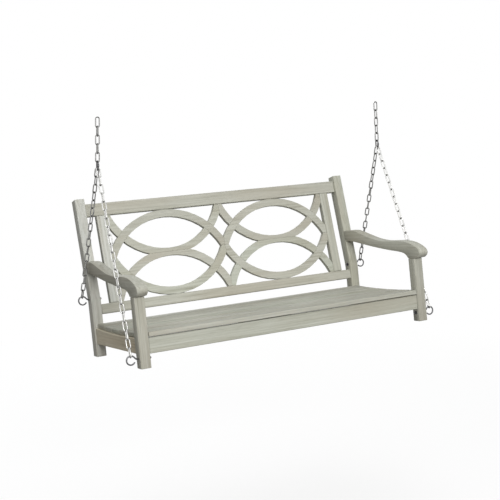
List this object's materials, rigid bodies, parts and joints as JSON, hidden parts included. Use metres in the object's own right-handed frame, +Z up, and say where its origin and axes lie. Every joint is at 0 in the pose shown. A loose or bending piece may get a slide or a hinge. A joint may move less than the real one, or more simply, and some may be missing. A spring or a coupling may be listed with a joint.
{
  "type": "porch swing seat",
  "caption": "Slatted timber porch swing seat with a curved fretwork back, scrolled arms and a pair of steel hanging chains.",
  "frame": {"origin": "midway between the two ceiling hooks, at the height where the inside of each top link rests on its hook", "axes": "+Z up, the front of the seat faces -Y, +X runs along the bench to the viewer's right"},
  "size_m": [1.4196, 0.7318, 1.0097],
  "materials": {
    "wood": "matt, lightly white-washed",
    "steel": "galvanised",
    "dark_steel": "satin, dark"
  },
  "bodies": {
    "ceiling_links": {"top_link_left": "steel", "top_link_right": "steel"},
    "swing_links": {"second_link_left": "steel", "second_link_right": "steel"},
    "hanger_left": {"hanger_chain_left": "steel"},
    "hanger_right": {"hanger_chain_right": "steel"},
    "apex_left": {"apex_link_left": "steel", "connector_left": "dark_steel"},
    "apex_right": {"apex_link_right": "steel", "connector_right": "dark_steel"},
    "seat": {"arm_left": "wood", "arm_right": "wood", "bottom_rail": "wood", "eye_bolt_front_left": "steel", "eye_bolt_front_right": "steel", "eye_bolt_rear_left": "steel", "eye_bolt_rear_right": "steel", "fret_left_lower_bow": "wood", "fret_left_lower_sag": "wood", "fret_left_upper_bow": "wood", "fret_left_upper_sag": "wood", "fret_right_lower_bow": "wood", "fret_right_lower_sag": "wood", "fret_right_upper_bow": "wood", "fret_right_upper_sag": "wood", "front_apron": "wood", "front_chain_left": "steel", "front_chain_right": "steel", "front_post_left": "wood", "front_post_right": "wood", "nut_front_left": "steel", "nut_front_right": "steel", "nut_rear_left": "steel", "nut_rear_right": "steel", "rear_apron": "wood", "rear_chain_left": "steel", "rear_chain_right": "steel", "rear_post_left": "wood", "rear_post_right": "wood", "seat_brace": "wood", "seat_slat_1": "wood", "seat_slat_2": "wood", "seat_slat_3": "wood", "seat_slat_4": "wood", "seat_slat_5": "wood", "seat_slat_6": "wood", "side_rail_left": "wood", "side_rail_right": "wood", "stile_left": "wood", "stile_right": "wood", "top_rail": "wood", "washer_front_left": "steel", "washer_front_right": "steel", "washer_rear_left": "steel", "washer_rear_right": "steel"}
  },
  "joints": [
    {"name": "swing", "type": "hinge", "parent": "ceiling_links", "child": "swing_links", "pos_m": [0, 0, -0.03695], "axis": [1, 0, 0], "range_deg": [-30, 30]},
    {"name": "sway", "type": "hinge", "parent": "swing_links", "child": "hanger_left", "pos_m": [-0.65253, 0, -0.0711], "axis": [0, 1, 0], "range_deg": [-12, 12]},
    {"name": "sway_right", "type": "hinge", "parent": "swing_links", "child": "hanger_right", "pos_m": [0.65253, 0, -0.0711], "axis": [0, 1, 0], "range_deg": [-12, 12]},
    {"name": "level_left", "type": "hinge", "parent": "hanger_left", "child": "apex_left", "pos_m": [-0.65605, 0, -0.13871], "axis": [0, 1, 0], "range_deg": [-12, 12]},
    {"name": "level_right", "type": "hinge", "parent": "hanger_right", "child": "apex_right", "pos_m": [0.65605, 0, -0.13871], "axis": [0, 1, 0], "range_deg": [-12, 12]},
    {"name": "pitch", "type": "hinge", "parent": "apex_left", "child": "seat", "pos_m": [-0.659, 0, -0.19544], "axis": [1, 0, 0], "range_deg": [-8, 8]}
  ],
  "couplings": [
    {"joint": "sway_right", "follows": "sway", "ratio": 1},
    {"joint": "level_left", "follows": "sway", "ratio": -0.99464},
    {"joint": "level_right", "follows": "sway", "ratio": -0.99464}
  ]
}
